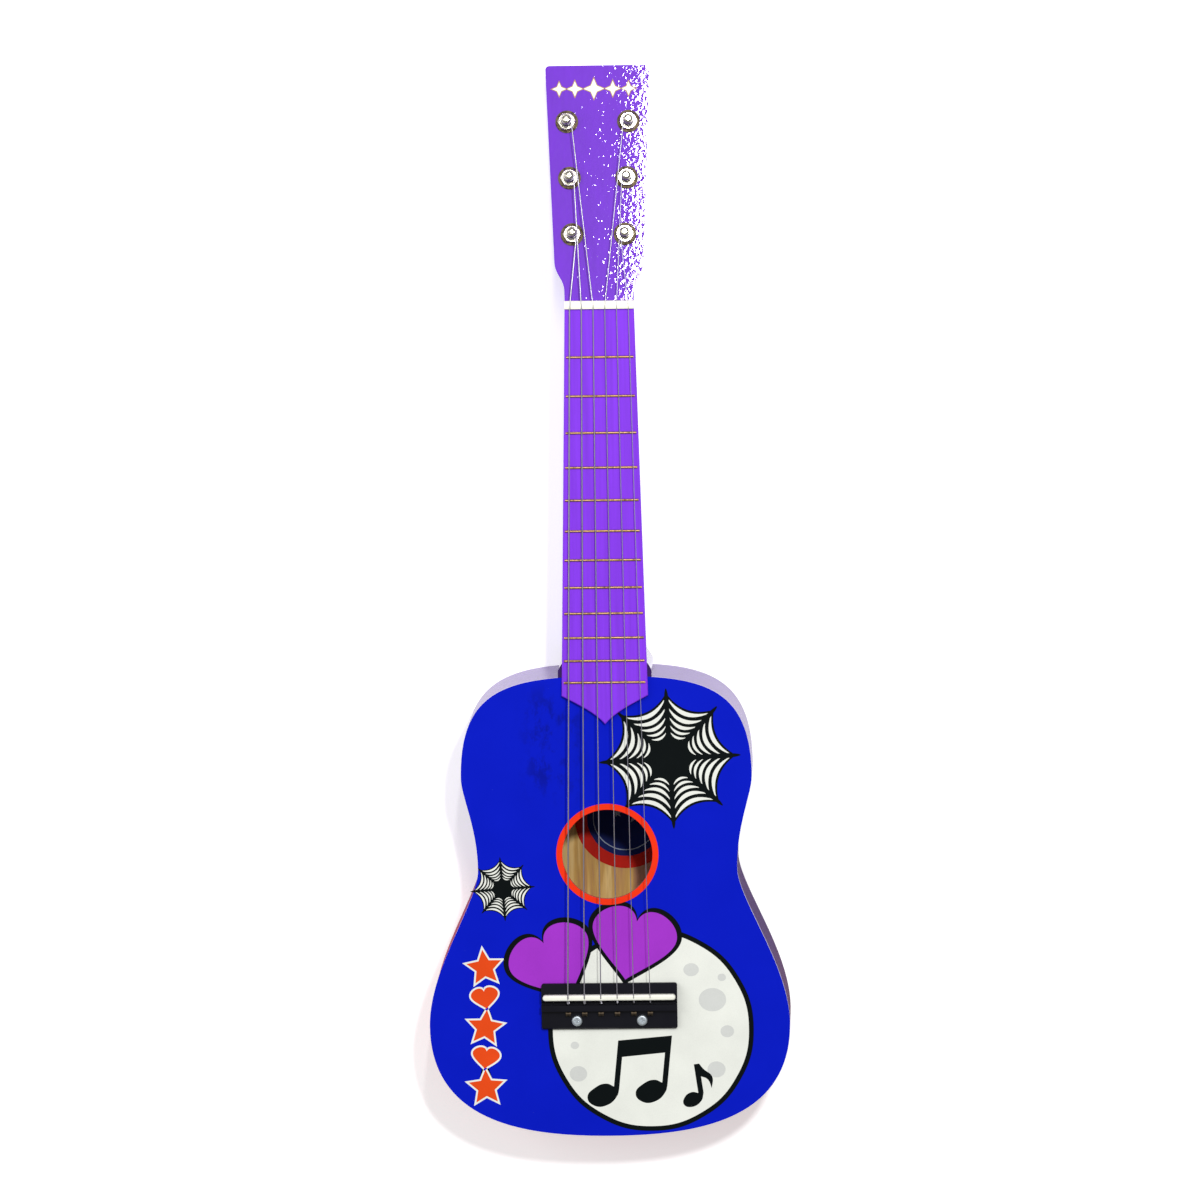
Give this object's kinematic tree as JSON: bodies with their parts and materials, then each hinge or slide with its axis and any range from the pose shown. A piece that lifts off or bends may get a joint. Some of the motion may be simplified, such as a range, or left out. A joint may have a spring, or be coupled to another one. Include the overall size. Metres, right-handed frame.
{
  "type": "toy acoustic guitar",
  "caption": "Child-size toy acoustic guitar: hollow plywood body, painted neck with frets, black bridge, steel strings, and friction tuning pegs that turn.",
  "frame": {"origin": "outer face of the back plate, straight below the middle of the sound hole", "axes": "+Z out of the soundboard, +Y along the strings to the headstock, +X to the treble side"},
  "size_m": [0.2242, 0.6649, 0.0729],
  "materials": {
    "printed_film": "printed, satin",
    "plain_plywood": "unpainted, striped plywood",
    "side_paint": "plywood, gloss purple paint",
    "neck_paint": "gloss purple paint",
    "fret_metal": "dull drawn wire",
    "cream_plastic": "semi-gloss",
    "white_plastic": "semi-gloss",
    "black_plastic": "satin moulded",
    "bright_screw": "zinc plated",
    "peg_chrome": "nickel plated",
    "string_steel": "plain drawn steel",
    "ball_brass": "bright",
    "button_plastic": "pearl white moulded",
    "paper": "printed paper"
  },
  "bodies": {
    "guitar": {"top_film": "printed_film", "soundboard": "plain_plywood", "back_plate": "side_paint", "side_bass": "side_paint", "side_treble": "side_paint", "top_linings": "plain_plywood", "back_linings": "plain_plywood", "neck_block": "plain_plywood", "tail_block": "plain_plywood", "top_brace_upper": "plain_plywood", "top_brace_lower": "plain_plywood", "back_brace_upper": "plain_plywood", "back_brace_lower": "plain_plywood", "bridge_patch": "plain_plywood", "inside_label": "paper", "neck": "neck_paint", "fingerboard": "neck_paint", "frets": "fret_metal", "string_nut": "cream_plastic", "neck_screws": "bright_screw", "bridge_base": "black_plastic", "bridge_saddle": "white_plastic", "bridge_screws": "bright_screw", "bridge_washers": "bright_screw", "bridge_hex_nuts": "bright_screw", "string_ball_ends": "ball_brass", "peg_sleeves": "peg_chrome", "peg_washers": "peg_chrome", "peg_hex_nuts": "peg_chrome", "peg_spring_washers": "peg_chrome", "string_1": "string_steel", "string_2": "string_steel", "string_3": "string_steel", "string_4": "string_steel", "string_5": "string_steel", "string_6": "string_steel"},
    "peg_1": {"peg_shaft_1": "peg_chrome", "peg_button_1": "button_plastic", "peg_screw_1": "peg_chrome", "peg_winding_1": "string_steel"},
    "peg_2": {"peg_shaft_2": "peg_chrome", "peg_button_2": "button_plastic", "peg_screw_2": "peg_chrome", "peg_winding_2": "string_steel"},
    "peg_3": {"peg_shaft_3": "peg_chrome", "peg_button_3": "button_plastic", "peg_screw_3": "peg_chrome", "peg_winding_3": "string_steel"},
    "peg_4": {"peg_shaft_4": "peg_chrome", "peg_button_4": "button_plastic", "peg_screw_4": "peg_chrome", "peg_winding_4": "string_steel"},
    "peg_5": {"peg_shaft_5": "peg_chrome", "peg_button_5": "button_plastic", "peg_screw_5": "peg_chrome", "peg_winding_5": "string_steel"},
    "peg_6": {"peg_shaft_6": "peg_chrome", "peg_button_6": "button_plastic", "peg_screw_6": "peg_chrome", "peg_winding_6": "string_steel"}
  },
  "joints": [
    {"name": "peg_1_turn", "type": "hinge", "parent": "guitar", "child": "peg_1", "pos_m": [0.01627, 0.3848, 0.05348], "axis": [0, 0.2079, 0.9781], "continuous": true},
    {"name": "peg_2_turn", "type": "hinge", "parent": "guitar", "child": "peg_2", "pos_m": [0.01765, 0.41904, 0.0462], "axis": [0, 0.2079, 0.9781], "continuous": true},
    {"name": "peg_3_turn", "type": "hinge", "parent": "guitar", "child": "peg_3", "pos_m": [0.01902, 0.45327, 0.03892], "axis": [0, 0.2079, 0.9781], "continuous": true},
    {"name": "peg_4_turn", "type": "hinge", "parent": "guitar", "child": "peg_4", "pos_m": [-0.01902, 0.45327, 0.03892], "axis": [0, 0.2079, 0.9781], "continuous": true},
    {"name": "peg_5_turn", "type": "hinge", "parent": "guitar", "child": "peg_5", "pos_m": [-0.01765, 0.41904, 0.0462], "axis": [0, 0.2079, 0.9781], "continuous": true},
    {"name": "peg_6_turn", "type": "hinge", "parent": "guitar", "child": "peg_6", "pos_m": [-0.01627, 0.3848, 0.05348], "axis": [0, 0.2079, 0.9781], "continuous": true}
  ]
}
